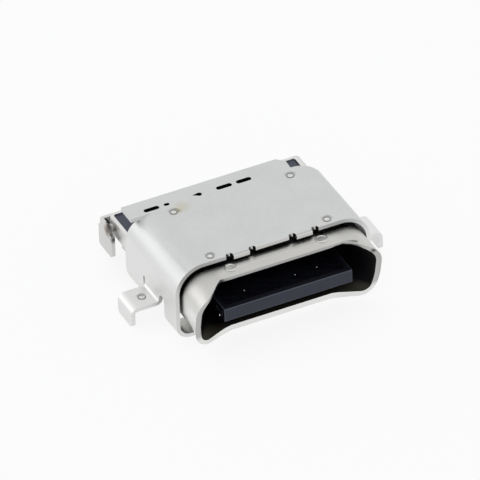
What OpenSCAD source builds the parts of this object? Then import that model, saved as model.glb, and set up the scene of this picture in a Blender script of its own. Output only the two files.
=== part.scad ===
// USB-C socket for a board cut-out: a moulded metal mouth and a folded metal cover
// round a plastic core with twenty-four contacts.
// X runs across the socket, +Y from the mouth to the solder tails, +Z up.
// Heights are worked out from the middle of the tongue, and lengths from the front
// edge of the mouth's top. The whole model is then set down on its underside.

/* [Mouth] */
// Width of the plug opening
mouth_w = 8.34; // [8.2:0.02:8.6]
// Height of the plug opening
mouth_h = 2.56; // [2.5:0.02:2.7]
// Wall of the mouth shell above and below the plug opening
mouth_wall = 0.42; // [0.36:0.01:0.44]
// Wall of the mouth shell at its sides
side_wall = 0.62; // [0.5:0.01:0.7]
// Outside radius of the mouth shell's upper corners
mouth_up_r = 1.2; // [1:0.05:1.4]
// Outside radius of the mouth shell's lower corners
mouth_low_r = 1.6; // [1:0.05:1.65]
// Length of the mouth shell behind its front edge
mouth_l = 5.4; // [5:0.1:5.6]
// Wall left at the top of the nose
nose_wall = 0.17; // [0.12:0.01:0.25]
// Wall at the sides and the bottom of the lip
lip_wall = 0.29; // [0.22:0.01:0.34]
// Inside width between the flared ends of the lip
lip_w = 9.14; // [8.9:0.02:9.2]
// Inside height of the flared ends above the middle of the tongue
lip_up = 1.55; // [1.45:0.01:1.6]
// Inside depth of the flared ends below the middle of the tongue
lip_down = 1.42; // [1.35:0.01:1.46]
// Inside radius of the lip's upper corners
lip_up_r = 1.1; // [0.8:0.05:1.2]
// Inside radius of the lip's lower corners
lip_down_r = 0.38; // [0.25:0.01:0.6]
// Opening out of the edge along the middle of the lip
lead_in = 0.05; // [0:0.01:0.08]
// How far the lip's ends stand forward at the height of the tongue
lip_reach = 0.81; // [0.4:0.01:1]
// Added reach for each millimetre of height
lip_lean = 0.22; // [0:0.01:0.3]
// Half of the lip's straight middle
lip_flat = 2.8; // [2.4:0.05:3]
// Half-width at which the lip has come fully forward
lip_full = 4.45; // [4.2:0.05:4.5]
// Length over which the lip rises to its shoulders
lip_rise = 0.6; // [0.4:0.05:0.8]
// Drawing in of the lip's sides towards their lower corners
lip_tuck = 0.14; // [0:0.01:0.16]
// Distance of the round marks on the nose from the middle
mark_x = 2.39; // [2.3:0.01:2.5]
// Where the flare ends, behind the front edge
flare_y = 0.75; // [0.5:0.05:0.8]
// Width of the flat land that backs the cover
land_w = 7; // [6:0.1:7.2]
// Where the land starts
land_y = 1.7; // [1.5:0.05:2]

/* [Cover] */
// Gap between the mouth's sides and the cover
side_gap = 0.12; // [0.08:0.01:0.2]
// Thickness of the sheet metal
sheet = 0.2; // [0.15:0.01:0.25]
// Gap between the mouth's top and the cover
top_gap = 0.22; // [0.15:0.01:0.3]
// Outside radius of the cover's upper corners
cover_r = 1.5; // [1.1:0.05:1.6]
// Outside radius of the cover's lower corners
cover_low_r = 0.75; // [0.5:0.05:0.9]
// Front edge of the cover
cover_y = 0.78; // [0.7:0.02:0.85]
// Rear edge of the cover's top plate
cover_end = 6.55; // [6.4:0.05:6.7]
// Outside radius of the cover's upper left corner at the rear
rear_r = 1.2; // [1:0.05:1.4]
// Outside radius of the cover's upper right corner at the rear
round_r = 1.9; // [1.5:0.05:2]
// How far each side of the cover stands out further at the rear
rear_swell = 0.09; // [0:0.01:0.12]
// Front edge of the top plate's flat left end
end_y = 5.48; // [5.4:0.02:5.6]
// How far the top plate's flat left end stops short of the side wall's outer face
end_in = 0.09; // [0.05:0.01:0.2]
// Rear edge of the bottom plate
floor_end = 5.62; // [5.5:0.02:5.7]
// Where the top plate's rear right corner is cut away, from the middle
corner_x = 3.33; // [3.2:0.01:3.4]
// Half-width of the bottom plate behind the front strips
floor_half = 4; // [3.6:0.1:4.1]
// Rear edge of the side walls
side_end = 6.05; // [5.9:0.05:6.2]
// Depth of the rear side walls below the middle of the tongue
side_down = 1.37; // [1.3:0.01:1.45]
// Corner radius of the rear side walls
side_r = 0.4; // [0.2:0.05:0.5]
// Radius of the spot welds
weld_r = 0.27; // [0.2:0.01:0.35]
// Depth of the spot welds
weld_deep = 0.03; // [0.01:0.01:0.05]
// Distance of the spot welds from the middle
weld_x = 3.06; // [2.8:0.02:3.2]
// Front row of the spot welds
weld_front = 1.2; // [1.1:0.02:1.4]
// Rear row of the spot welds
weld_rear = 5.1; // [4.8:0.05:5.2]
// Diameter of the notches in the front edge
notch_d = 0.36; // [0.3:0.02:0.4]
// Distance of the inner notches from the middle
notch_in = 1.05; // [0.9:0.05:1.1]
// Distance of the outer notches from the middle
notch_out = 2.24; // [2.1:0.02:2.4]
// Width of the long slits in the top plate
slot_w = 0.26; // [0.22:0.01:0.3]
// Distance of the slits from the top plate's rear edge
slot_in = 0.79; // [0.7:0.01:0.85]

/* [Board tabs] */
// Front edge of the tabs
tab_y = 2.56; // [2.4:0.02:2.7]
// Length of the tabs along the socket
tab_l = 1.48; // [1.4:0.02:1.7]
// Top face of the tabs below the middle of the tongue
tab_down = 0.76; // [0.72:0.01:0.85]
// Distance between the outer faces of the legs
leg_span = 13.2; // [12.8:0.05:13.6]
// Depth of the front leg tips below the middle of the tongue
leg_down = 1.8; // [1.65:0.01:1.85]
// Inside radius of the tabs' bends
bend_r = 0.15; // [0.1:0.01:0.2]
// Width of the relief slit behind each tab
slit_w = 0.16; // [0.12:0.01:0.24]
// Gap between each tab and the strip in front of it
tab_gap = 0.52; // [0.4:0.02:0.6]
// Corner radius of the leg tips
tip_r = 0.2; // [0.1:0.02:0.3]
// Top of the relief slits below the middle of the tongue
slit_up = 0.26; // [0.2:0.02:0.4]

/* [Rear brackets] */
// Sheet of the rear frame and the rear bracket
strap = 0.18; // [0.14:0.01:0.2]
// Gap between the rear frame and the bracket's legs
strap_gap = 0.12; // [0.08:0.01:0.14]
// Play between the cover's side walls and the frame
cover_play = 0.05; // [0.03:0.01:0.06]
// Top edge of the rear frame above the middle of the tongue
strap_up = 0.48; // [0.45:0.01:0.52]
// Bottom edge of the rear frame below the middle of the tongue
strap_down = 0.43; // [0.35:0.01:0.6]
// Rear face of the frame
frame_end = 8.38; // [8.3:0.02:8.45]
// Front edge of the lugs under the rear frame
lug_y = 6.7; // [6.55:0.05:6.9]
// Front end of the rear frame
strap_y = 5.65; // [5.6:0.05:5.8]
// Rear face of the bracket
bracket_end = 8.85; // [8.75:0.05:9]
// Top edge of the bracket above the middle of the tongue
bracket_up = 0.08; // [0:0.02:0.2]
// Bottom edge of the bracket's rear wall
bracket_down = 0.62; // [0.5:0.02:0.7]
// Front edge of the rear legs
rear_leg_y = 7.46; // [7.2:0.02:7.5]
// How far the rear legs stand out behind the bracket's rear wall
leg_back = 0.04; // [0:0.01:0.1]
// Step from the rear legs' narrow top to their wide tips
leg_step = 0.2; // [0.1:0.02:0.24]
// Depth of the rear leg tips below the middle of the tongue
rear_leg_down = 1.46; // [1.4:0.01:1.6]

/* [Core] */
// Plastic left beside the contact rows at each edge of the tongue
tongue_rim = 0.345; // [0.3:0.005:0.4]
// Thickness of the tongue
tongue_t = 0.7; // [0.66:0.01:0.74]
// How far the tongue's tip stands forward of the mouth's front edge
tongue_out = 0.82; // [0.4:0.02:0.9]
// Solid plastic at the tongue's tip, in front of the terminal blocks
tip_l = 0.35; // [0.3:0.05:0.4]
// Plastic left between the outer contacts and the terminal blocks' sides
block_rim = 0.05; // [0.03:0.01:0.1]
// Plastic round the contacts where they turn down
turn_wall = 0.3; // [0.25:0.01:0.35]
// Latch recesses in the tongue's sides, behind the front edge
latch_y = 1.4; // [1.2:0.1:1.6]
// Radius of the latch recesses
latch_r = 0.3; // [0.25:0.01:0.35]
// Front face of the wall that carries the tongue
wall_y = 4.4; // [4.2:0.05:4.6]
// Front end of the tongue's thick root
root_y = 3.1; // [2.9:0.05:3.4]
// Half-height of the thick root
root_half = 0.7; // [0.6:0.01:0.8]
// Thickness of the steel plate inside the tongue
plate_t = 0.15; // [0.12:0.01:0.2]
// Thickness of the ground plates on the root
pad_t = 0.1; // [0.08:0.01:0.12]
// Play between the plastic core and the metal round it
core_play = 0.04; // [0.02:0.01:0.06]
// Top of the core's low rear part above the middle of the tongue
step_up = 0.4; // [0.38:0.01:0.44]
// Gap between the core's underside and the solder tails
tail_gap = 0.04; // [0.02:0.01:0.08]
// How far the core's high part ends in front of the top plate's rear edge
hump_in = 0.15; // [0.1:0.01:0.2]
// Half-width of the core's high part behind the mouth shell
hump_half = 3.2; // [3:0.05:3.25]

/* [Contacts] */
// Contacts in each row
rows_of = 12; // [4:2:12]
// Distance from contact to contact
pitch = 0.5; // [0.45:0.01:0.52]
// Width of a contact
contact_w = 0.25; // [0.2:0.01:0.3]
// Thickness of a contact
contact_t = 0.12; // [0.08:0.01:0.14]
// Front end of the contacts
contact_y = 1.25; // [1.2:0.05:1.5]
// Where the upper row turns down to the board
upper_turn = 7.85; // [7.7:0.05:7.95]
// Where the lower row turns down to the board
lower_turn = 6.75; // [6.6:0.05:7]
// Rear end of the upper row's solder tails
tail_end = 9.4; // [9.2:0.05:9.6]
// Length of the lower row's solder tails
tail_l = 0.7; // [0.5:0.05:0.8]

/* [Hidden] */
$fn = 64;
eps = 0.01;
mouth_half = mouth_h / 2;
mouth_top = mouth_half + mouth_wall;
cover_top = mouth_top + top_gap + sheet;
cover_w = mouth_w + 2 * (side_wall + side_gap + sheet);
rear_w = cover_w + 2 * rear_swell;
cover_bottom = mouth_top + sheet;
tab_under = tab_down + sheet;
step_down = tab_under - contact_t - tail_gap;
frame_half = rear_w / 2 - sheet - cover_play;
leg_half = frame_half + strap_gap + strap;
core_half = frame_half - strap - core_play;
tongue_half = tongue_t / 2;
plate_half = plate_t / 2;
tongue_w = rows_of * pitch + 2 * tongue_rim;
block_half = rows_of * pitch / 2 + block_rim;
block_y = tip_l - tongue_out;
contact_low = tongue_half - contact_t;

UPPER = [for (i = [1:rows_of]) str("upper_contact_", i)];
LOWER = [for (i = [1:rows_of]) str("lower_contact_", i)];

// A closed outline of a box with round corners, in even steps, as [x, z] points
corner_n = 14;
function arc(cx, cz, r, from, to) =
    [for (i = [0:corner_n - 1]) let (a = from + (to - from) * i / corner_n)
        [cx + r * cos(a), cz + r * sin(a)]];
function run(x0, z0, x1, z1, n) =
    [for (i = [0:n - 1]) [x0 + (x1 - x0) * i / n, z0 + (z1 - z0) * i / n]];
function outline(half, up, down, up_r, down_r, flat_n = 24, side_n = 4) = concat(
    run(-half + up_r, up, half - up_r, up, flat_n),
    arc(half - up_r, up - up_r, up_r, 90, 0),
    run(half, up - up_r, half, down_r - down, side_n),
    arc(half - down_r, down_r - down, down_r, 0, -90),
    run(half - down_r, -down, down_r - half, -down, flat_n),
    arc(down_r - half, down_r - down, down_r, -90, -180),
    run(-half, down_r - down, -half, up - up_r, side_n),
    arc(up_r - half, up - up_r, up_r, 180, 90));
function reversed(list) = [for (i = [len(list) - 1:-1:0]) list[i]];

// The plug opening, the outside of the shell, and the flared lip grown by its own walls
bore = outline(mouth_w / 2, mouth_half, mouth_half, mouth_half - eps, mouth_half - eps);
shell = outline(mouth_w / 2 + side_wall, mouth_top, mouth_top, mouth_up_r, mouth_low_r);
function flare(side, top) = outline(lip_w / 2 + side, lip_up + top, lip_down + side,
    lip_up_r + (side + top) / 2, lip_down_r + side);
function ease(v) = let (c = min(1, max(0, v))) c * c * (3 - 2 * c);
function forward(p) = ease((abs(p[0]) - lip_flat) / (lip_full - lip_flat));
function front_y(p) = -forward(p) * (lip_reach + lip_lean * p[1]);
lip_front = min([for (p = flare(0, 0)) front_y(p)]);

// The lip's edge: low along the middle, shoulders at both ends, sides drawn in below
function lip_edge(side, top) = [for (p = flare(side, top))
    let (rise = ease((abs(p[0]) - lip_flat) / lip_rise),
        gap = p[1] > 0 ? lip_up - mouth_half - lead_in : mouth_half + lead_in - lip_down,
        below = max(0, -p[1] - 0.1))
    [p[0] * (1 - 2 * lip_tuck / lip_w * below * below), p[1] - gap * (1 - rise)]];
// One ring of the mouth between its lip (t = 0) and the end of its flare (t = 1)
function ring(tube, lip, t, bend) = [for (i = [0:len(tube) - 1])
    let (s = tube[i], l = lip[i], p = s + (l - s) * pow(1 - t, bend))
    [p[0], front_y(l) + (flare_y - front_y(l)) * t, p[1]]];
function straight_ring(tube, y) = [for (p = tube) [p[0], y, p[1]]];

module loop_of(rings) {
    n = len(rings[0]);
    m = len(rings);
    polyhedron(
        points = [for (r = rings) for (p = r) p],
        faces = [for (k = [0:m - 1]) for (i = [0:n - 1]) let (a = k * n,
            b = ((k + 1) % m) * n, j = (i + 1) % n)
            [a + i, b + i, b + j, a + j]],
        convexity = 8);
}

module place() translate([0, -(lip_front + tail_end) / 2, cover_bottom]) children();
module mirrored() { children(); mirror([1, 0, 0]) children(); }
module box(x0, x1, y0, y1, z0, z1)
    translate([x0, y0, z0]) cube([x1 - x0, y1 - y0, z1 - z0]);
// A shape drawn in X and Z, carried from y0 to y1
module along(y0, y1)
    translate([0, y1, 0]) rotate([90, 0, 0]) linear_extrude(y1 - y0) children();

module mouth_shell() color([0.82, 0.82, 0.8]) place() difference() {
    union() {
        loop_of(concat(
            [for (t = [0, 0.04, 0.1, 0.17, 0.25, 0.35, 0.47, 0.6, 0.8, 1])
                ring(shell, lip_edge(lip_wall, nose_wall), t, 4)],
            [straight_ring(shell, mouth_l), straight_ring(bore, mouth_l)],
            [for (t = [1, 0.8, 0.6, 0.45, 0.3, 0.18, 0.08, 0]) ring(bore, lip_edge(0, 0), t, 1.5)]));
        box(-land_w / 2, land_w / 2, land_y, mouth_l,
            mouth_half + mouth_wall / 2, mouth_top + top_gap);
    }
    // round marks on the nose's top
    mirrored() translate([mark_x, flare_y - 0.33, mouth_top - weld_deep])
        cylinder(h = 1, r = 0.3);
}

// The cover is one tube, swollen a little at the rear, where its left corner is tighter
// and its right corner is rounder, before it is cut and folded.
function mix(a, b, t) = a + (b - a) * min(1, max(0, t));
function cover_side(half, r, inset) = outline(half - inset, cover_top - inset,
    cover_bottom - inset, r - inset, cover_low_r - inset, 1, 1);
function back(y) = (y - cover_y) / (cover_end - cover_y);
function wall_x(y) = mix(cover_w, rear_w, back(y)) / 2;
function cover_ring(y, inset) =
    let (right = cover_side(wall_x(y), mix(cover_r, round_r, back(y)), inset),
        left = cover_side(wall_x(y), mix(cover_r, rear_r, back(y)), inset))
    [for (i = [0:len(right) - 1]) let (p = right[i][0] > 0 ? right[i] : left[i])
        [p[0], y, p[1]]];
// One slit in the top plate between two distances from the middle
module top_slit(x0, x1, w)
    translate([0, cover_end - slot_in, cover_top - 2 * sheet]) linear_extrude(3 * sheet) {
        translate([x0 + w / 2, -w / 2]) square([x1 - x0 - w, w]);
        for (x = [x0 + w / 2, x1 - w / 2]) translate([x, 0]) circle(w / 2);
    }
// What is cut from the side walls, drawn in Y and Z: the slits beside the tab, the
// opening it was folded out of, and the rear end of the wall
module side_cut() {
    front = tab_y - tab_gap;
    tab_end = tab_y + tab_l;
    fold = bend_r - tab_down;
    translate([floor_half, 0, 0]) rotate([90, 0, 90]) linear_extrude(rear_w) polygon(concat(
        [[cover_end + 1, cover_top - sheet], [side_end - 0.42, cover_top - sheet],
            [side_end - 0.23, 1.2], [side_end, 0.4]],
        arc(side_end - side_r, side_r - side_down, side_r, 0, -90),
        [[side_end - side_r, -side_down], [tab_end + slit_w, -side_down]],
        arc(tab_end + slit_w / 2, -slit_up - slit_w / 2, slit_w / 2, 0, 180),
        [[tab_end, -slit_up - slit_w / 2], [tab_end, fold], [tab_y, fold]],
        arc(tab_y - tab_gap / 2, -slit_up - tab_gap / 2, tab_gap / 2, 0, 180),
        [[front, -slit_up - tab_gap / 2], [front, -9], [cover_end + 1, -9]]));
}
module board_tab(x) {
    out = leg_span / 2;
    ro = bend_r + sheet;
    knee = -tab_down - ro;
    // bend out of the side wall, flat flange, bend down
    translate([0, tab_y + tab_l, 0]) rotate([90, 0, 0]) linear_extrude(tab_l) polygon(concat(
        [[x - sheet, bend_r - tab_down + eps]],
        arc(x + bend_r, bend_r - tab_down, ro, 180, 270),
        [[x + bend_r, -tab_under], [out - ro, -tab_under]],
        arc(out - ro, knee, bend_r, 90, 0),
        [[out - sheet, knee], [out - sheet, knee - eps], [out, knee - eps]],
        arc(out - ro, knee, ro, 0, 90),
        [[out - ro, -tab_down], [x + bend_r, -tab_down]],
        arc(x + bend_r, bend_r - tab_down, bend_r, 270, 180),
        [[x, bend_r - tab_down], [x, bend_r - tab_down + eps]]));
    // leg with a tip rounded at its corners
    translate([out - sheet, tab_y, 0]) rotate([90, 0, 90]) linear_extrude(sheet)
        polygon(concat([[0, knee]], arc(tip_r, tip_r - leg_down, tip_r, 180, 270),
            arc(tab_l - tip_r, tip_r - leg_down, tip_r, 270, 360), [[tab_l, knee]]));
}
module cover() color([0.8, 0.82, 0.81]) place() difference() {
    union() {
        difference() {
            loop_of([cover_ring(cover_y, 0), cover_ring(cover_end, 0),
                cover_ring(cover_end, sheet), cover_ring(cover_y, sheet)]);
            mirrored() side_cut();
            // the floor stops short of the rear
            box(-rear_w, rear_w, floor_end, cover_end + 1, -9, -side_down);
        }
        mirrored() board_tab(wall_x(tab_y + tab_l / 2));
        // behind the left side wall the top plate stays flat out to its end
        box(end_in - rear_w / 2, cover_r - rear_w / 2, end_y, cover_end,
            cover_top - sheet, cover_top);
        // short lugs between the notches, set down towards the mouth
        mirrored() box(notch_in + notch_d / 2, notch_out - notch_d / 2, cover_y - 0.1,
            cover_y + 0.1,
            cover_top - 1.2 * sheet, cover_top - 0.2 * sheet);
    }
    // notches in the front edge
    for (x = [notch_in, notch_out]) mirrored()
        translate([x, cover_y, cover_top - 1.5 * sheet]) cylinder(h = 1, d = notch_d);
    for (x = [-weld_x, weld_x]) for (y = [weld_front, weld_rear])
        translate([x, y, cover_top - weld_deep]) cylinder(h = 1, r = weld_r);
    mirrored() translate([(cover_w + leg_span) / 4 - slit_w, tab_y + tab_l / 2,
        -tab_down - weld_deep])
        cylinder(h = 0.5, r = weld_r);
    // the row of slits along the rear of the top plate
    for (ends = [[-4.3, -3.5], [-0.5, 0.31], [0.54, 1.33]])
        top_slit(ends[0], ends[1], slot_w);
    top_slit(-3.25, -2.96, 0.75 * slot_w);
    // one short slit is round at its right end and pointed at its left
    translate([-1.4, cover_end - slot_in, cover_top - 2 * sheet]) linear_extrude(3 * sheet) {
        circle(slot_w / 2);
        polygon([[-0.34, slot_w / 4], [0, slot_w / 2], [0, -slot_w / 2]]);
    }
    // the rear right corner of the top plate is cut away
    translate([0, 0, side_down]) linear_extrude(2) polygon([
        [corner_x, floor_end], [corner_x + 0.03, cover_end - 0.37],
        [corner_x - 0.35, cover_end + eps], [corner_x - 0.35, cover_end + 1],
        [rear_w, cover_end + 1], [rear_w, floor_end]]);
}

// A band of sheet metal round three sides, bent at its two rear corners
module band(half, y0, y1, r) difference() {
    hull() {
        mirrored() translate([half - r, y1 - r]) circle(r);
        translate([-half, y0]) square([2 * half, eps]);
    }
    hull() {
        mirrored() translate([half - r, y1 - r]) circle(max(r - strap, eps));
        translate([strap - half, y0 - eps]) square([2 * (half - strap), eps]);
    }
}
module rear_frame() color([0.76, 0.76, 0.74]) place() {
    translate([0, 0, -strap_down]) linear_extrude(strap_down + strap_up)
        band(frame_half, strap_y, frame_end, strap + 0.1);
    // short lugs under its arms
    mirrored() box(frame_half - strap, frame_half, lug_y, lug_y + 0.3,
        -strap_down - 0.18, eps - strap_down);
}
module rear_bracket() color([0.78, 0.78, 0.76]) place() {
    corner = strap + 0.02;
    difference() {
        translate([0, 0, -bracket_down]) linear_extrude(bracket_down + bracket_up)
            band(leg_half, rear_leg_y + leg_step, bracket_end, corner);
        // relief between each leg and the rear wall
        mirrored() box(leg_half - corner - eps, leg_half + 1, bracket_end - corner - eps,
            bracket_end + 1, -9, -bracket_down + 0.2);
    }
    // the legs, wide at their tips
    mirrored() translate([leg_half - strap, 0, 0]) rotate([90, 0, 90]) linear_extrude(strap)
        polygon(concat([[rear_leg_y + leg_step, bracket_up - 0.1],
                [rear_leg_y + leg_step, -0.18], [rear_leg_y, -0.24]],
            arc(rear_leg_y + tip_r, tip_r - rear_leg_down, tip_r, 180, 270),
            arc(bracket_end + leg_back - tip_r, tip_r - rear_leg_down, tip_r, 270, 360),
            [[bracket_end + leg_back, -0.3], [bracket_end - corner - eps, -0.3],
                [bracket_end - corner - eps, bracket_up - 0.1]]));
    // bosses where the legs are welded to the frame
    mirrored() translate([frame_half, rear_leg_y + 0.6, -0.12]) rotate([0, 90, 0])
        cylinder(h = strap_gap, r = 0.2);
}

// The plastic core: a wall inside the mouth shell, a high part and a low rear part
module core_body() {
    along(wall_y, mouth_l + eps)
        mouth_plug(core_play);
    box(-core_half, core_half, mouth_l + core_play, strap_y + eps, -mouth_half, step_up);
    box(-hump_half, hump_half, mouth_l, cover_end - hump_in, -step_down,
        cover_top - sheet - core_play);
    box(-core_half, core_half, strap_y, frame_end - strap, -step_down, step_up);
}
module mouth_plug(play) {
    h = mouth_half - play;
    hull() mirrored() translate([mouth_w / 2 - mouth_half, 0]) circle(h);
}
module block_space(up) {
    turn = up ? upper_turn : lower_turn;
    mirror([0, 0, up ? 0 : 1])
        box(-block_half, block_half, block_y, turn + turn_wall, plate_half, tongue_half);
    box(-block_half, block_half, turn - turn_wall, turn + turn_wall, -step_down,
        up ? tongue_half : -plate_half);
}
module plate_space() {
    box(-tongue_w / 2, tongue_w / 2, block_y - 0.1, 0.1, -plate_half, plate_half);
    box(-block_half, block_half, 0.1 - eps, lower_turn - turn_wall - core_play,
        -plate_half, plate_half);
}
module core() color([0.09, 0.1, 0.16]) place() difference() {
    core_body();
    block_space(true);
    block_space(false);
    plate_space();
    box(-tongue_w / 2, tongue_w / 2, wall_y - 1, wall_y + 0.4, -root_half, root_half);
}
module tongue() color([0.1, 0.12, 0.2]) place() difference() {
    union() {
        box(-tongue_w / 2, tongue_w / 2, -tongue_out, wall_y, -tongue_half, tongue_half);
        box(-tongue_w / 2, tongue_w / 2, root_y, wall_y + 0.4, -root_half, root_half);
    }
    block_space(true);
    block_space(false);
    plate_space();
    latch_recesses();
}
module latch_recesses() mirrored()
    translate([tongue_w / 2 + 0.05, latch_y, -root_half]) cylinder(h = 2 * root_half, r = latch_r);
module mid_plate() color([0.7, 0.7, 0.7]) place() difference() {
    plate_space();
    latch_recesses();
}
module block(up) difference() {
    block_space(up);
    if (up) block_space(false);
    for (i = [1:rows_of]) contact(i, up);
}
module upper_block() color([0.08, 0.09, 0.14]) place() difference() {
    block(true);
    // shallow round marks of the mould's pins
    for (x = [-1.91, 0.83, 1.93]) translate([x, 0.05, tongue_half - 0.03])
        cylinder(h = 1, r = 0.07);
}
module lower_block() color([0.08, 0.09, 0.14]) place() block(false);

// A ground plate lies on the root, open in the middle, with a lip bent over its front
module ground_plate() difference() {
    box(-tongue_w / 2, tongue_w / 2, root_y + 0.1, wall_y - core_play, root_half, root_half + pad_t);
    for (x = [-2:2]) box(x - 0.3, x + 0.3, root_y + 0.45, wall_y - 0.4,
        root_half - 1, root_half + 1);
}
module upper_ground_plate() color([0.72, 0.72, 0.7]) place() ground_plate();
module lower_ground_plate() color([0.72, 0.72, 0.7]) place() mirror([0, 0, 1]) ground_plate();

// A contact lies in the tongue's face, runs back, turns down and ends in a tail
module contact(i, up) {
    x = (i - (rows_of + 1) / 2) * pitch;
    turn = up ? upper_turn : lower_turn;
    end = up ? tail_end : turn + tail_l;
    s = up ? 1 : -1;
    h = contact_w / 2;
    top = up ? tongue_half : -contact_low;
    box(x - h, x + h, contact_y, turn + contact_t / 2, top - contact_t, top);
    box(x - h, x + h, turn - contact_t / 2, turn + contact_t / 2, -tab_under, top);
    box(x - h, x + h, turn - contact_t / 2, end, -tab_under, contact_t - tab_under);
}
module upper_contact(i) color([0.85, 0.68, 0.3]) place() contact(i, true);
module lower_contact(i) color([0.85, 0.68, 0.3]) place() contact(i, false);

mouth_shell();
cover();
rear_frame();
rear_bracket();
core();
tongue();
mid_plate();
upper_block();
lower_block();
upper_ground_plate();
lower_ground_plate();
for (i = [1:rows_of]) {
    upper_contact(i);
    lower_contact(i);
}
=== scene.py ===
import math

import bpy
from mathutils import Matrix, Vector


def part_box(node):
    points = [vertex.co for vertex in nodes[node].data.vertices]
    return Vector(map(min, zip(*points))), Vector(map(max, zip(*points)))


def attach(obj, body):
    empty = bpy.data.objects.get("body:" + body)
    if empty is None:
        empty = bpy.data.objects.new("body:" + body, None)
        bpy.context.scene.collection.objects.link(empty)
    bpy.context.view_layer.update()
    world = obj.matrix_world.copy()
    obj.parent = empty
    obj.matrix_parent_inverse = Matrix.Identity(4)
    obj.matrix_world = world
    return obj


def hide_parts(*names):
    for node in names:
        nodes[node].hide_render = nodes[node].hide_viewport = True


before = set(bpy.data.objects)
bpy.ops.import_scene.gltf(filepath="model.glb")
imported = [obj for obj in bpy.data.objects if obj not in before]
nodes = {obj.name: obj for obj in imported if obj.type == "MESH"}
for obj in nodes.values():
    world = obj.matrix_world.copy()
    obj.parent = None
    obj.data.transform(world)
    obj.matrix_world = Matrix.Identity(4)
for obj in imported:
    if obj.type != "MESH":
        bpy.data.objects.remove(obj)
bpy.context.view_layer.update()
scene = bpy.context.scene
scene.view_settings.view_transform = "Standard"
mm = 0.001

# the tongue gives the socket's own reference: its tip, its middle height
tongueLow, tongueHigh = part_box("tongue")
coverLow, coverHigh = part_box("cover")
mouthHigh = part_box("mouth_shell")[1]
tongueMid = (tongueLow.z + tongueHigh.z) / 2
tipToLip = 0.82  # how far the middle of the lip lies behind the tongue's tip
print("frame loaded:", len(nodes), "nodes")

# the camera looks in from the front left, from far away with a long lens
viewpoint = {"azimuth": 25.01, "elevation": 36.85, "roll": -1.86, "distance": 0.7518,
             "lens": 1200, "sensor": 36, "clip": (0.05, 20),
             "aimLeft": 1.921 * mm, "aimUp": 2.189 * mm}


def addCamera(v):
    a, e, r = (math.radians(v[k]) for k in ("azimuth", "elevation", "roll"))
    back = Vector((-math.sin(a) * math.cos(e), -math.cos(a) * math.cos(e), math.sin(e)))
    side = Vector((math.cos(a), -math.sin(a), 0))
    rise = back.cross(side)
    right = side * math.cos(r) + rise * math.sin(r)
    up = rise * math.cos(r) - side * math.sin(r)
    lipMiddle = Vector((0, tongueLow.y + tipToLip * mm, tongueMid))
    aim = lipMiddle - right * v["aimLeft"] + up * v["aimUp"]
    data = bpy.data.cameras.new("productCamera")
    data.lens = v["lens"]
    data.sensor_width = v["sensor"]
    data.clip_start, data.clip_end = v["clip"]
    camera = bpy.data.objects.new("productCamera", data)
    scene.collection.objects.link(camera)
    turn = Matrix((right, up, back)).transposed().to_4x4()
    camera.matrix_world = Matrix.Translation(aim + back * v["distance"]) @ turn
    scene.camera = camera


addCamera(viewpoint)


def deselectAll():
    if bpy.context.object and bpy.context.object.mode != "OBJECT":
        bpy.ops.object.mode_set(mode="OBJECT")
    bpy.ops.object.select_all(action="DESELECT")


def activate(piece):
    deselectAll()
    piece.select_set(True)
    bpy.context.view_layer.objects.active = piece


def editAll(piece):
    activate(piece)
    bpy.ops.object.mode_set(mode="EDIT")
    bpy.ops.mesh.select_all(action="SELECT")


def resizeMesh(piece, factor):
    editAll(piece)
    bpy.ops.transform.resize(value=(factor,) * 3, center_override=(0, 0, 0))
    bpy.ops.object.mode_set(mode="OBJECT")


def applyAll(piece):
    activate(piece)
    for modifier in list(piece.modifiers):
        bpy.ops.object.modifier_apply(modifier=modifier.name)


# distances in millimetres and angles in degrees that every piece shares
working = {"joinWithin": 0.0005, "flatWithin": 0.4, "bevelFrom": 40}


def copyNode(nodeName, pieceName):
    # a CAD node's mesh as a working copy in millimetres, with its triangles joined up
    piece = bpy.data.objects.new(pieceName, nodes[nodeName].data.copy())
    scene.collection.objects.link(piece)
    piece.data.materials.clear()
    resizeMesh(piece, 1 / mm)
    editAll(piece)
    bpy.ops.mesh.customdata_custom_splitnormals_clear()
    bpy.ops.mesh.remove_doubles(threshold=working["joinWithin"])
    bpy.ops.mesh.dissolve_limited(angle_limit=math.radians(working["flatWithin"]))
    bpy.ops.object.mode_set(mode="OBJECT")
    return piece


def paintFaces(piece, index, test):
    for face in piece.data.polygons:
        if test(face.center, face.normal):
            face.material_index = index


def addBevel(piece, width, segments=2, material=-1):
    bevel = piece.modifiers.new("edgeRounding", "BEVEL")
    bevel.width = width
    bevel.segments = segments
    bevel.material = material
    bevel.limit_method = "ANGLE"
    bevel.angle_limit = math.radians(working["bevelFrom"])
    bevel.use_clamp_overlap = True
    applyAll(piece)


def finishPiece(piece, smooth, body, slotName, *replaced):
    # back to metres, smooth where the surface is round, riding on its body
    activate(piece)
    bpy.ops.object.transform_apply(location=True, rotation=True, scale=True)
    resizeMesh(piece, mm)
    activate(piece)
    bpy.ops.object.shade_smooth_by_angle(angle=math.radians(smooth))
    flatness = piece.modifiers.new("flatFacesStayFlat", "WEIGHTED_NORMAL")
    flatness.keep_sharp = True
    applyAll(piece)
    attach(piece, body)
    if replaced:
        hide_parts(*replaced)


def newGroup(name, inputs, outputs):
    group = bpy.data.node_groups.new(name, "ShaderNodeTree")
    for socketName, kind, value in inputs:
        socket = group.interface.new_socket(socketName, in_out="INPUT", socket_type=kind)
        if value is not None:
            socket.default_value = value
    for socketName, kind in outputs:
        group.interface.new_socket(socketName, in_out="OUTPUT", socket_type=kind)
    ins = group.nodes.new("NodeGroupInput")
    outs = group.nodes.new("NodeGroupOutput")
    return group, ins, outs


floatSocket, vectorSocket = "NodeSocketFloat", "NodeSocketVector"


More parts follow.
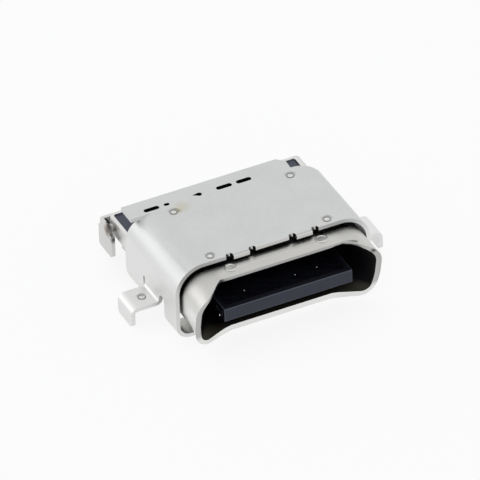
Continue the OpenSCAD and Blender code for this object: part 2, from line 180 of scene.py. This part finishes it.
def mathNode(tree, operation, a, b, clamp=False):
    node = tree.nodes.new("ShaderNodeMath")
    node.operation = operation
    node.use_clamp = clamp
    for index, value in enumerate((a, b)):
        if isinstance(value, (int, float)):
            node.inputs[index].default_value = value
        else:
            tree.links.new(value, node.inputs[index])
    return node.outputs[0]


def addNode(tree, a, b, clamp=False):
    return mathNode(tree, "ADD", a, b, clamp)


def subtractNode(tree, a, b, clamp=False):
    return mathNode(tree, "SUBTRACT", a, b, clamp)


def multiplyNode(tree, a, b, clamp=False):
    return mathNode(tree, "MULTIPLY", a, b, clamp)


def noiseNode(tree, vector, scale, detail=3.0, rough=0.6):
    node = tree.nodes.new("ShaderNodeTexNoise")
    node.inputs["Scale"].default_value = scale
    node.inputs["Detail"].default_value = detail
    node.inputs["Roughness"].default_value = rough
    tree.links.new(vector, node.inputs["Vector"])
    return node.outputs["Fac"]


def scaledVector(tree, vector, factors):
    node = tree.nodes.new("ShaderNodeVectorMath")
    node.operation = "MULTIPLY"
    node.inputs[1].default_value = factors
    tree.links.new(vector, node.inputs[0])
    return node.outputs[0]


# fine streaks of rolled or drawn sheet, with broad cloudiness
grainLook = {"streakStretch": (2.2, 34, 34), "fineScale": 14, "cloudScale": 0.7,
             "polish": -0.6, "fineHeight": 0.35}


def buildRolledGrain(look):
    # puts out tone, roughness and height
    group, ins, outs = newGroup("rolledGrain",
        [("Vector", vectorSocket, None), ("Streak", floatSocket, 0.5), ("Cloud", floatSocket, 0.5)],
        [("Tone", floatSocket), ("Rough", floatSocket), ("Height", floatSocket)])
    vector = ins.outputs["Vector"]
    streak = noiseNode(group, scaledVector(group, vector, look["streakStretch"]), 1.0, 4)
    fine = noiseNode(group, vector, look["fineScale"])
    cloud = noiseNode(group, vector, look["cloudScale"], 3, 0.5)
    streakPart = multiplyNode(group, subtractNode(group, streak, 0.5), ins.outputs["Streak"])
    cloudPart = multiplyNode(group, subtractNode(group, cloud, 0.5), ins.outputs["Cloud"])
    finePart = multiplyNode(group, subtractNode(group, fine, 0.5), ins.outputs["Cloud"])
    swing = addNode(group, addNode(group, streakPart, cloudPart), finePart)
    tone = addNode(group, swing, 0.5, True)
    rough = addNode(group, multiplyNode(group, swing, look["polish"]), 0.5, True)
    height = addNode(group, streakPart, multiplyNode(group, fine, look["fineHeight"]))
    group.links.new(tone, outs.inputs["Tone"])
    group.links.new(rough, outs.inputs["Rough"])
    group.links.new(height, outs.inputs["Height"])
    return group


# a soft uneven patch round one point: 1 in its middle, 0 outside
stainAndShadeLook = {"wobbleScale": 4.5, "fade": 0.8}


def buildSpotStainAndShade(look):
    group, ins, outs = newGroup("spotStainAndShade",
        [("Vector", vectorSocket, None), ("Centre", vectorSocket, (0, 0, 0)),
         ("Radius", floatSocket, 0.3), ("Ragged", floatSocket, 0.4)],
        [("Mask", floatSocket)])
    vector = ins.outputs["Vector"]
    gap = group.nodes.new("ShaderNodeVectorMath")
    gap.operation = "DISTANCE"
    group.links.new(vector, gap.inputs[0])
    group.links.new(ins.outputs["Centre"], gap.inputs[1])
    noise = noiseNode(group, vector, look["wobbleScale"], 4)
    wobble = multiplyNode(group, subtractNode(group, noise, 0.5), ins.outputs["Ragged"])
    reach = addNode(group, gap.outputs["Value"], wobble)
    share = mathNode(group, "DIVIDE", reach, ins.outputs["Radius"])
    mask = subtractNode(group, 1.0, share, True)
    group.links.new(mathNode(group, "POWER", mask, look["fade"]), outs.inputs["Mask"])
    return group


# brighter rubbed edges, from the mesh's own convexity, broken up by patches
rubLook = {"convexFrom": 0.515, "gain": 9.0, "patchScale": 6, "patchShare": 0.7, "patchLeast": 0.45}


def buildEdgeRub(look):
    group, ins, outs = newGroup("edgeRub",
        [("Vector", vectorSocket, None), ("Amount", floatSocket, 1.0)], [("Mask", floatSocket)])
    geometry = group.nodes.new("ShaderNodeNewGeometry")
    convex = subtractNode(group, geometry.outputs["Pointiness"], look["convexFrom"])
    edge = multiplyNode(group, convex, look["gain"], True)
    patches = noiseNode(group, ins.outputs["Vector"], look["patchScale"])
    broken = addNode(group, multiplyNode(group, patches, look["patchShare"]), look["patchLeast"])
    mask = multiplyNode(group, multiplyNode(group, edge, broken), ins.outputs["Amount"], True)
    group.links.new(mask, outs.inputs["Mask"])
    return group


rolledGrain = buildRolledGrain(grainLook)
spotStainAndShade = buildSpotStainAndShade(stainAndShadeLook)
edgeRub = buildEdgeRub(rubLook)


class MaterialMaker:
    # one material with its Principled shader, and the steps that the finishes below share
    def __init__(self, name, roughness, metallic, specular=0.5):
        self.material = bpy.data.materials.new(name)
        self.material.use_nodes = True
        self.tree = self.material.node_tree
        self.shader = self.tree.nodes["Principled BSDF"]
        self.shader.inputs["Roughness"].default_value = roughness
        self.shader.inputs["Metallic"].default_value = metallic
        self.shader.inputs["Specular IOR Level"].default_value = specular
        place = self.tree.nodes.new("ShaderNodeTexCoord")
        self.vector = scaledVector(self.tree, place.outputs["Object"], (1 / mm,) * 3)

    def group(self, tree, **values):
        node = self.tree.nodes.new("ShaderNodeGroup")
        node.node_tree = tree
        self.tree.links.new(self.vector, node.inputs["Vector"])
        for key, value in values.items():
            node.inputs[key].default_value = value
        return node

    def mix(self, fac, a, b):
        node = self.tree.nodes.new("ShaderNodeMix")
        node.data_type = "RGBA"
        self.tree.links.new(fac, node.inputs["Factor"])
        for index, value in ((6, a), (7, b)):  # the two colour inputs
            if isinstance(value, tuple):
                node.inputs[index].default_value = (*value, 1)
            else:
                self.tree.links.new(value, node.inputs[index])
        return node.outputs[2]

    def along(self, axis):
        # the place along one axis, in millimetres
        split = self.tree.nodes.new("ShaderNodeSeparateXYZ")
        self.tree.links.new(self.vector, split.inputs[0])
        return split.outputs[axis]

    def ramp(self, axis, start, end):
        # 0 at one place along an axis and 1 at the other, eased at both
        node = self.tree.nodes.new("ShaderNodeMapRange")
        node.interpolation_type = "SMOOTHSTEP"
        node.inputs["From Min"].default_value = start
        node.inputs["From Max"].default_value = end
        self.tree.links.new(self.along(axis), node.inputs["Value"])
        return node.outputs["Result"]

    def setColor(self, color):
        self.tree.links.new(color, self.shader.inputs["Base Color"])

    def setRough(self, rough, low, high):
        node = self.tree.nodes.new("ShaderNodeMapRange")
        node.inputs["To Min"].default_value = low
        node.inputs["To Max"].default_value = high
        self.tree.links.new(rough, node.inputs["Value"])
        self.tree.links.new(node.outputs["Result"], self.shader.inputs["Roughness"])

    def setBump(self, height, distance, strength):
        node = self.tree.nodes.new("ShaderNodeBump")
        node.inputs["Distance"].default_value = distance
        node.inputs["Strength"].default_value = strength
        self.tree.links.new(height, node.inputs["Height"])
        self.tree.links.new(node.outputs["Normal"], self.shader.inputs["Normal"])


sheetLook = {"roughSwing": 0.06, "rubGain": 1.2, "bump": 0.006, "bumpStrength": 0.6}


def sheetMetal(name, dark, light, rough, streak, cloud, rub=0, stainsAndShade=(), lightAndShadeZones=()):
    # satin sheet: streaked tone, rubbed edges, spots listed as (centre, radius, colour, ragged), some of
    # them real heat stains and burns and some painted shade, and zones of painted light and shade that come
    # in along an axis, listed as (axis, from, to, colour)
    m = MaterialMaker(name, rough, 1.0)
    grain = m.group(rolledGrain, Streak=streak, Cloud=cloud)
    color = m.mix(grain.outputs["Tone"], dark, light)
    for axis, start, end, tint in lightAndShadeZones:
        color = m.mix(m.ramp(axis, start, end), color, tint)
    if rub:
        edge = m.group(edgeRub, Amount=rub)
        rubbed = tuple(min(1, c * sheetLook["rubGain"]) for c in light)
        color = m.mix(edge.outputs["Mask"], color, rubbed)
    for centre, radius, tint, ragged in stainsAndShade:
        spotPatch = m.group(spotStainAndShade, Centre=centre, Radius=radius, Ragged=ragged)
        color = m.mix(spotPatch.outputs["Mask"], color, tint)
    m.setColor(color)
    swing = sheetLook["roughSwing"]
    m.setRough(grain.outputs["Rough"], rough - swing, rough + swing)
    m.setBump(grain.outputs["Height"], sheetLook["bump"] * mm, sheetLook["bumpStrength"])
    return m.material


plasticLook = {"mottleScale": 1.3, "grainScale": 14, "smoother": 0.05, "rougher": 0.08, "bumpStrength": 0.5}


def mouldedPlastic(name, dark, light, rough, bump, specular=0.5, paintedShadeFront=None):
    # near-black moulded plastic with a fine eroded surface, with painted shade making it blacker in front
    # of a place
    m = MaterialMaker(name, rough, 0.0, specular)
    mottle = noiseNode(m.tree, m.vector, plasticLook["mottleScale"], 4)
    color = m.mix(mottle, dark, light)
    if paintedShadeFront:
        start, end, black = paintedShadeFront
        color = m.mix(m.ramp("Y", start, end), black, color)
    m.setColor(color)
    fine = noiseNode(m.tree, m.vector, plasticLook["grainScale"])
    m.setRough(fine, rough - plasticLook["smoother"], rough + plasticLook["rougher"])
    m.setBump(fine, bump * mm, plasticLook["bumpStrength"])
    return m.material


# places of the marks, in millimetres, worked out from the CAD boxes
lipY = tongueLow.y / mm + tipToLip
midZ = tongueMid / mm
topZ = coverHigh.z / mm
coverFront = coverLow.y / mm
weldRows = {"x": 3.06, "front": lipY + 1.2, "rear": lipY + 5.1}
mouthMarks = {"x": 2.39, "y": lipY + 0.42}
tabWeld = (coverHigh.x / mm - 0.905, lipY + 3.3, midZ - 0.76)

# heat from the rear left weld has tinted the plate beside it
heatTint = {"place": (-weldRows["x"], weldRows["rear"]), "brown": (0.26, -0.02), "straw": (0.5, 0.16)}


def heatPlace(name):
    return tuple(a + b for a, b in zip(heatTint["place"], heatTint[name])) + (topZ,)


# the cover's lower walls are painted paler as painted light; the brown and straw patches are real heat tint
coverSteel = sheetMetal("coverSteel", dark=(0.48, 0.49, 0.487), light=(0.63, 0.641, 0.637),
    rough=0.44, streak=0.6, cloud=0.6, rub=0.35,
    stainsAndShade=[(heatPlace("brown"), 0.2, (0.30, 0.22, 0.10), 0.25),
            (heatPlace("straw"), 0.5, (0.56, 0.55, 0.47), 0.5)],
    lightAndShadeZones=[("Z", topZ - 0.3, topZ - 1.5, (0.78, 0.78, 0.77))])

# painted shade: a dark line runs along the rim's upper right, and ends in a dark spot
rimShadeLine = {"x": (3.3, 3.45, 3.6, 3.72), "y": (-0.36, -0.41, -0.46, -0.53), "up": 1.7,
           "spot": (4.38, -1.08, 1.31)}
# the mouth's outside is painted paler low down as painted light, near-black just behind the cover's front
# edge as painted shadow under it, and paler again at its bottom, over that shadow, as painted light
mouthSteel = sheetMetal("mouthSteel", dark=(0.50, 0.495, 0.475), light=(0.61, 0.605, 0.585),
    rough=0.36, streak=0.4, cloud=0.5, rub=0.3,
    stainsAndShade=[((x, lipY + y, midZ + rimShadeLine["up"]), 0.13, (0.07, 0.07, 0.066), 0.03)
            for x, y in zip(rimShadeLine["x"], rimShadeLine["y"])],
    lightAndShadeZones=[("Z", midZ + 1.2, midZ + 0.2, (0.92, 0.92, 0.905)),
           ("Y", coverFront - 0.02, coverFront + 0.1, (0.03, 0.03, 0.028)),
           ("Z", midZ - 0.7, midZ - 1.1, (0.86, 0.85, 0.82))])
spotX, spotY, spotUp = rimShadeLine["spot"]
# the lip's dark spot is painted shade, and its lower part is painted paler as painted light
lipSteel = sheetMetal("lipSteel", dark=(0.40, 0.40, 0.39), light=(0.52, 0.52, 0.51),
    rough=0.34, streak=0.3, cloud=0.5, rub=0.3,
    stainsAndShade=[((spotX, lipY + spotY, midZ + spotUp), 0.2, (0.02, 0.02, 0.02), 0.05)],
    lightAndShadeZones=[("Z", midZ - 0.85, midZ - 1.2, (0.84, 0.84, 0.825))])
# bright steel: cut edges are burnished, and it is lighter still to paint highlights on edges, round marks
# and tips
brightHighlightSteel = sheetMetal("brightHighlightSteel", dark=(0.76, 0.76, 0.75), light=(0.90, 0.90, 0.89),
    rough=0.22, streak=0.2, cloud=0.3)
# painted shade: near-black steel for the walls of the slits and notches, where shade falls
slitShadeSteel = sheetMetal("slitShadeSteel", dark=(0.010, 0.010, 0.010), light=(0.03, 0.03, 0.03),
    rough=0.5, streak=0.2, cloud=0.3)
# the weld nugget is painted bright as a highlight
nuggetHighlightSteel = sheetMetal("nuggetHighlightSteel", dark=(0.56, 0.56, 0.55), light=(0.82, 0.82, 0.81),
    rough=0.26, streak=0.3, cloud=0.9)
# the weld ring is painted dark as shade
weldRingShadeSteel = sheetMetal("weldRingShadeSteel", dark=(0.20, 0.195, 0.185), light=(0.36, 0.35, 0.33),
    rough=0.34, streak=0.2, cloud=0.6)

# painted shade: a dark crack runs down the left end of the bracket, standing in for the shadowed gap beside
# the frame arm, into a real brown burn; each mark is a place from the middle of the lip, and a radius
burnAndCrackShade = {"crackShade": ((-5.0, 8.67, -0.06, 0.16), (-4.93, 8.67, -0.14, 0.17), (-4.87, 8.67, -0.2, 0.16),
                  (-4.84, 8.67, -0.31, 0.16), (-5.07, 8.27, 0.08, 0.13), (-5.1, 8.1, 0.08, 0.14),
                  (-5.13, 7.94, 0.08, 0.16), (-5.19, 7.76, 0.06, 0.22), (-5.13, 7.46, -0.38, 0.24)),
        "brown": ((-5.25, 7.93, -0.12, 0.4),)}


def burnAndShadeMarks(places, tint, ragged):
    return [((x, lipY + y, midZ + z), radius, tint, ragged) for x, y, z, radius in places]


# the bracket: a real brown burn, and the crack marks painted on as shade
bracketSteel = sheetMetal("bracketSteel", dark=(0.54, 0.54, 0.53), light=(0.66, 0.66, 0.65),
    rough=0.38, streak=0.4, cloud=0.6, rub=0.35,
    stainsAndShade=burnAndShadeMarks(burnAndCrackShade["brown"], (0.16, 0.10, 0.05), 0.25)
        + burnAndShadeMarks(burnAndCrackShade["crackShade"], (0.012, 0.009, 0.007), 0.05))
frameSteel = sheetMetal("frameSteel", dark=(0.66, 0.66, 0.65), light=(0.76, 0.76, 0.75),
    rough=0.38, streak=0.4, cloud=0.6, rub=0.35)
plateSteel = sheetMetal("plateSteel", dark=(0.50, 0.50, 0.48), light=(0.62, 0.62, 0.60),
    rough=0.34, streak=0.5, cloud=0.4, rub=0.3)
contactGold = sheetMetal("contactGold", dark=(0.72, 0.52, 0.22), light=(0.86, 0.66, 0.33),
    rough=0.28, streak=0.4, cloud=0.5, rub=0.3)
# painted shade: the core is painted black in front of a place just behind the slits' row, where it lies in
# shade under the cover
corePlastic = mouldedPlastic("corePlastic", dark=(0.030, 0.034, 0.062), light=(0.042, 0.047, 0.080),
    rough=0.42, bump=0.004, paintedShadeFront=(lipY + 6.3, lipY + 6.6, (0.002, 0.002, 0.003)))
# the tongue's plastic as shaded and lit copies: darker as painted shade on its top and inner blocks,
# lighter as painted light on its front face, lighter still as a painted highlight on its edges
tongueShadedPlastic = mouldedPlastic("tongueShadedPlastic", dark=(0.004, 0.004, 0.007), light=(0.007, 0.008, 0.013),
    rough=0.5, bump=0.001, specular=0.12)
tongueLitFace = mouldedPlastic("tongueLitFace", dark=(0.020, 0.024, 0.038), light=(0.030, 0.036, 0.053),
    rough=0.45, bump=0.002, specular=0.3)
tongueEdgeHighlight = mouldedPlastic("tongueEdgeHighlight", dark=(0.05, 0.056, 0.08), light=(0.08, 0.088, 0.115),
    rough=0.4, bump=0.001)

boreLook = {"black": (0.003, 0.003, 0.004), "paintedLitGrey": (0.05, 0.045, 0.034), "rough": (0.45, 0.6),
            "greyFrom": -0.15, "greyFade": 1.6, "greyBelow": -1.0, "greyRise": 5.0,
            "grainStretch": (3, 12, 12), "grainLift": 0.4}


def mouthInside(look):
    # the bore: painted near-black throughout as shade, with a warm grey painted light fading along the
    # front of its floor
    m = MaterialMaker("mouthInside", 0.5, 0.0, 0.08)
    depth = subtractNode(m.tree, m.along("Y"), lipY + look["greyFrom"])
    fade = subtractNode(m.tree, 1.0, multiplyNode(m.tree, depth, look["greyFade"]), True)
    below = subtractNode(m.tree, midZ + look["greyBelow"], m.along("Z"))
    low = multiplyNode(m.tree, below, look["greyRise"], True)
    grain = noiseNode(m.tree, scaledVector(m.tree, m.vector, look["grainStretch"]), 1.0)
    uneven = addNode(m.tree, grain, look["grainLift"])
    mask = multiplyNode(m.tree, multiplyNode(m.tree, fade, low), uneven, True)
    m.setColor(m.mix(mask, look["black"], look["paintedLitGrey"]))
    m.setRough(grain, *look["rough"])
    return m.material


mouthPaintedShade = mouthInside(boreLook)
print("finishes made")


def giveMaterial(piece, *materials):
    piece.data.materials.clear()
    for material in materials:
        piece.data.materials.append(material)


# the mouth: its lip stands forward at both ends and keeps the metal, its bore is painted dark as shade
mouthShape = {"rimRounding": 0.035, "smooth": 34, "lipFlat": 2.8, "lipFull": 4.45, "lipUp": 1.55,
              "lipReach": 0.81, "lipLean": 0.22, "lipNear": 0.012, "boreStop": 0.02}


def onLip(place, shape):
    # the lip's front surface is flat along its middle and swings forward in an S to both ends
    share = (abs(place.x) - shape["lipFlat"]) / (shape["lipFull"] - shape["lipFlat"])
    share = min(1, max(0, share))
    ease = share * share * (3 - 2 * share)
    reach = ease * (shape["lipReach"] + shape["lipLean"] * (place.z - midZ))
    return abs(place.y - lipY + reach) < shape["lipNear"]


def facesBore(face, shape):
    # set against an ellipse as wide and as high as the mouth, the face looks inwards
    wide = face.normal.x * face.center.x / shape["lipFull"] ** 2
    high = face.normal.z * (face.center.z - midZ) / shape["lipUp"] ** 2
    return wide + high < 0 and face.center.y < mouthHigh.y / mm - shape["boreStop"]


def buildMouth(shape):
    piece = copyNode("mouth_shell", "mouthBell")
    giveMaterial(piece, mouthSteel, mouthPaintedShade, brightHighlightSteel, lipSteel)
    # the rim's rounded edges get the bright steel as a painted highlight, and the bore gets the painted
    # shade
    bore, highlightEdge, lip = 1, 2, 3
    front = [onLip(vertex.co, shape) for vertex in piece.data.vertices]
    for face in piece.data.polygons:
        if all(front[index] for index in face.vertices):
            face.material_index = lip
        elif facesBore(face, shape):
            face.material_index = bore
    addBevel(piece, shape["rimRounding"], segments=3, material=highlightEdge)
    finishPiece(piece, shape["smooth"], "root", "mouth_metal", "mouth_shell")


buildMouth(mouthShape)
print("mouth built")

# the folded cover: its cut front edge and rounded edges are painted bright as a highlight on burnished
# metal, and its slits and its notches' sides are painted black as shade
coverShape = {"edgeRounding": 0.03, "smooth": 32, "sheet": 0.2, "frontDrop": 1,
              "slitRow": 5.76, "slitNear": 0.2, "slitReach": 4.5,
              "notchFrom": 0.115, "notchTo": 0.35, "notchReach": 3.6}


def buildCover(shape):
    piece = copyNode("cover", "foldedCover")
    giveMaterial(piece, coverSteel, brightHighlightSteel, slitShadeSteel)
    highlightEdge, black = 1, 2
    plateBottom = topZ - shape["sheet"]
    slitRow = lipY + shape["slitRow"]

    def onFrontEdge(centre, normal):
        return normal.y < -0.9 and centre.z > topZ - shape["frontDrop"]

    def inSlit(centre, normal):
        near = abs(centre.y - slitRow) < shape["slitNear"] and abs(centre.x) < shape["slitReach"]
        return abs(normal.z) < 0.3 and centre.z > plateBottom and near

    def onNotchSide(centre, normal):
        back = centre.y - coverFront
        near = shape["notchFrom"] < back < shape["notchTo"] and abs(centre.x) < shape["notchReach"]
        return abs(normal.x) > 0.5 and centre.z > plateBottom and near

    paintFaces(piece, highlightEdge, onFrontEdge)
    paintFaces(piece, black, inSlit)
    paintFaces(piece, black, onNotchSide)
    addBevel(piece, shape["edgeRounding"], material=highlightEdge)
    finishPiece(piece, shape["smooth"], "root", "cover_metal", "cover")


buildCover(coverShape)
print("cover built")

# the rear strip, its bracket, the tongue and the core, each with rounded edges
roundings = {"strip": 0.025, "bracket": 0.025, "tongue": 0.03, "core": 0.03, "smooth": 32}


def buildRounded(nodeName, pieceName, material, slotName, rounding):
    piece = copyNode(nodeName, pieceName)
    addBevel(piece, rounding)
    giveMaterial(piece, material)
    finishPiece(piece, roundings["smooth"], "root", slotName, nodeName)


buildRounded("rear_frame", "frameStrip", frameSteel, "bracket_metal", roundings["strip"])
buildRounded("rear_bracket", "legBracket", bracketSteel, "bracket_metal", roundings["bracket"])


def buildTongue(rounding):
    # its front face is painted lighter as painted light, its edges brighter as a painted highlight, and its
    # top darker as painted shade
    piece = copyNode("tongue", "tongueBlade")
    giveMaterial(piece, tongueShadedPlastic, tongueLitFace, tongueEdgeHighlight)
    face, edge = 1, 2
    paintFaces(piece, face, lambda centre, normal: normal.y < -0.5)
    addBevel(piece, rounding, material=edge)
    finishPiece(piece, roundings["smooth"], "root", "tongue_plastic", "tongue")


buildTongue(roundings["tongue"])
buildRounded("core", "plasticCore", corePlastic, "core_plastic", roundings["core"])
print("frame, bracket, tongue and core built")

for name, node in nodes.items():
    if "contact_" in name:
        giveMaterial(node, contactGold)
    elif "ground_plate" in name or name == "mid_plate":
        giveMaterial(node, plateSteel)
    elif name in ("upper_block", "lower_block"):
        giveMaterial(node, tongueShadedPlastic)


def addDot(name, place, radius, height):
    # a low rounded nugget
    bpy.ops.mesh.primitive_uv_sphere_add(radius=radius, segments=28, ring_count=14, location=place)
    dot = bpy.context.object
    dot.name = name
    editAll(dot)
    bpy.ops.transform.resize(value=(1, 1, height / radius), center_override=place)
    bpy.ops.object.mode_set(mode="OBJECT")
    return dot


def addRing(name, place, radius, tube):
    bpy.ops.mesh.primitive_torus_add(major_radius=radius, minor_radius=tube, major_segments=40,
        minor_segments=10, location=place)
    ring = bpy.context.object
    ring.name = name
    return ring


def joinParts(parts, name):
    deselectAll()
    for part in parts:
        part.select_set(True)
    bpy.context.view_layer.objects.active = parts[0]
    bpy.ops.object.join()
    piece = bpy.context.object
    piece.name = name
    return piece


# the two round marks on the nose's top, in bright steel that paints a highlight on them
markShape = {"ring": 0.25, "tube": 0.024, "drop": 0.24, "smooth": 60}


def buildMouthMarks(shape):
    deselectAll()
    height = mouthHigh.z / mm - shape["drop"]
    spots = [(x, mouthMarks["y"], height) for x in (-mouthMarks["x"], mouthMarks["x"])]
    parts = [addRing("ring", spot, shape["ring"], shape["tube"]) for spot in spots]
    rings = joinParts(parts, "markRings")
    giveMaterial(rings, brightHighlightSteel)
    finishPiece(rings, shape["smooth"], "root", "mouth_metal")


buildMouthMarks(markShape)

# small tips that show on the tongue in the dark of the mouth, in bright steel that paints glints on them
tipShape = {"places": ((-1.84, 0.15), (0.81, 0.11), (1.97, 0.16)), "size": 0.04, "height": 0.022,
            "up": 0.35, "latchEdge": (-0.28, -0.27), "latchSize": 0.055, "smooth": 60}


def buildTips(shape):
    deselectAll()
    height = midZ + shape["up"]
    parts = [addDot("tip", (x, lipY + y, height), shape["size"], shape["height"])
             for x, y in shape["places"]]
    behind, above = shape["latchEdge"]
    latch = (tongueLow.x / mm, lipY + behind, midZ + above)
    parts.append(addDot("latchTip", latch, shape["latchSize"], shape["latchSize"]))
    piece = joinParts(parts, "contactTips")
    giveMaterial(piece, brightHighlightSteel)
    finishPiece(piece, shape["smooth"], "root", "plate_metal")


buildTips(tipShape)
print("mouth marks and tips built")

# spot welds: a ring pressed by the electrode, with a low nugget in it; the ring is painted dark as shade
# and the nugget bright as a highlight
weldShape = {"ring": 0.18, "tube": 0.028, "dome": 0.13, "height": 0.028, "sink": 0.03, "smooth": 60}


def buildWelds(shape):
    deselectAll()
    spots = [(x, weldRows[row], topZ - shape["sink"])
             for x in (-weldRows["x"], weldRows["x"]) for row in ("front", "rear")]
    tabX, tabY, tabZ = tabWeld
    spots += [(x, tabY, tabZ - shape["sink"]) for x in (-tabX, tabX)]
    parts = [addRing("ring", spot, shape["ring"], shape["tube"]) for spot in spots]
    rings = joinParts(parts, "weldRings")
    giveMaterial(rings, weldRingShadeSteel)
    finishPiece(rings, shape["smooth"], "root", "cover_metal")
    parts = [addDot("dot", spot, shape["dome"], shape["height"]) for spot in spots]
    dots = joinParts(parts, "weldNuggets")
    giveMaterial(dots, nuggetHighlightSteel)
    finishPiece(dots, shape["smooth"], "root", "cover_metal")


buildWelds(weldShape)
print("welds built")

# floor, background and lamp, in metres
studio = {"floorSize": 1.2, "floorDrop": 0.01 * mm, "floorGrey": (0.92, 0.92, 0.92, 1),
          "white": (1, 1, 1, 1), "floorGlow": 0.86, "sky": (0.84, 0.85, 0.86, 1)}
softbox = {"size": (0.2, 0.1), "place": (-0.11, 0.12, 0.045), "watts": 0.04}


def seenRays(tree):
    # 1 for what the camera sees straight on, in a reflection or through something clear
    path = tree.nodes.new("ShaderNodeLightPath")
    seen = mathNode(tree, "MAXIMUM", path.outputs["Is Camera Ray"], path.outputs["Is Glossy Ray"])
    return mathNode(tree, "MAXIMUM", seen, path.outputs["Is Transmission Ray"])


def addFloor(look):
    bpy.ops.mesh.primitive_plane_add(size=look["floorSize"], location=(0, 0, -look["floorDrop"]))
    floor = bpy.context.object
    floor.name = "paleFloor"
    material = bpy.data.materials.new("paleFloor")
    material.use_nodes = True
    tree = material.node_tree
    for node in list(tree.nodes):
        if node.type != "OUTPUT_MATERIAL":
            tree.nodes.remove(node)
    output = tree.nodes["Material Output"]
    matte = tree.nodes.new("ShaderNodeBsdfDiffuse")
    matte.inputs["Color"].default_value = look["floorGrey"]
    white = tree.nodes.new("ShaderNodeEmission")
    white.inputs["Color"].default_value = look["white"]
    blend = tree.nodes.new("ShaderNodeMixShader")
    tree.links.new(multiplyNode(tree, seenRays(tree), look["floorGlow"]), blend.inputs["Fac"])
    tree.links.new(matte.outputs[0], blend.inputs[1])
    tree.links.new(white.outputs[0], blend.inputs[2])
    tree.links.new(blend.outputs[0], output.inputs["Surface"])
    floor.data.materials.append(material)


def addWorld(look):
    # the sky lights the object at a plain level and is seen as white
    world = bpy.data.worlds.new("studioWorld")
    world.use_nodes = True
    scene.world = world
    tree = world.node_tree
    background = tree.nodes["Background"]
    tone = tree.nodes.new("ShaderNodeMix")
    tone.data_type = "RGBA"
    tone.inputs[6].default_value = look["sky"]
    tone.inputs[7].default_value = look["white"]
    tree.links.new(seenRays(tree), tone.inputs["Factor"])
    tree.links.new(tone.outputs[2], background.inputs["Color"])
    background.inputs["Strength"].default_value = 1.0


def addLamp(name, look, target):
    data = bpy.data.lights.new(name, "AREA")
    data.shape = "RECTANGLE"
    data.size, data.size_y = look["size"]
    data.energy = look["watts"]
    lamp = bpy.data.objects.new(name, data)
    scene.collection.objects.link(lamp)
    lamp.location = look["place"]
    reach = Vector(target) - Vector(look["place"])
    lamp.rotation_euler = reach.to_track_quat("-Z", "Y").to_euler()


addFloor(studio)
addWorld(studio)
addLamp("backLeftSoftbox", softbox, (0, 0, tongueMid))
print("stage lit")
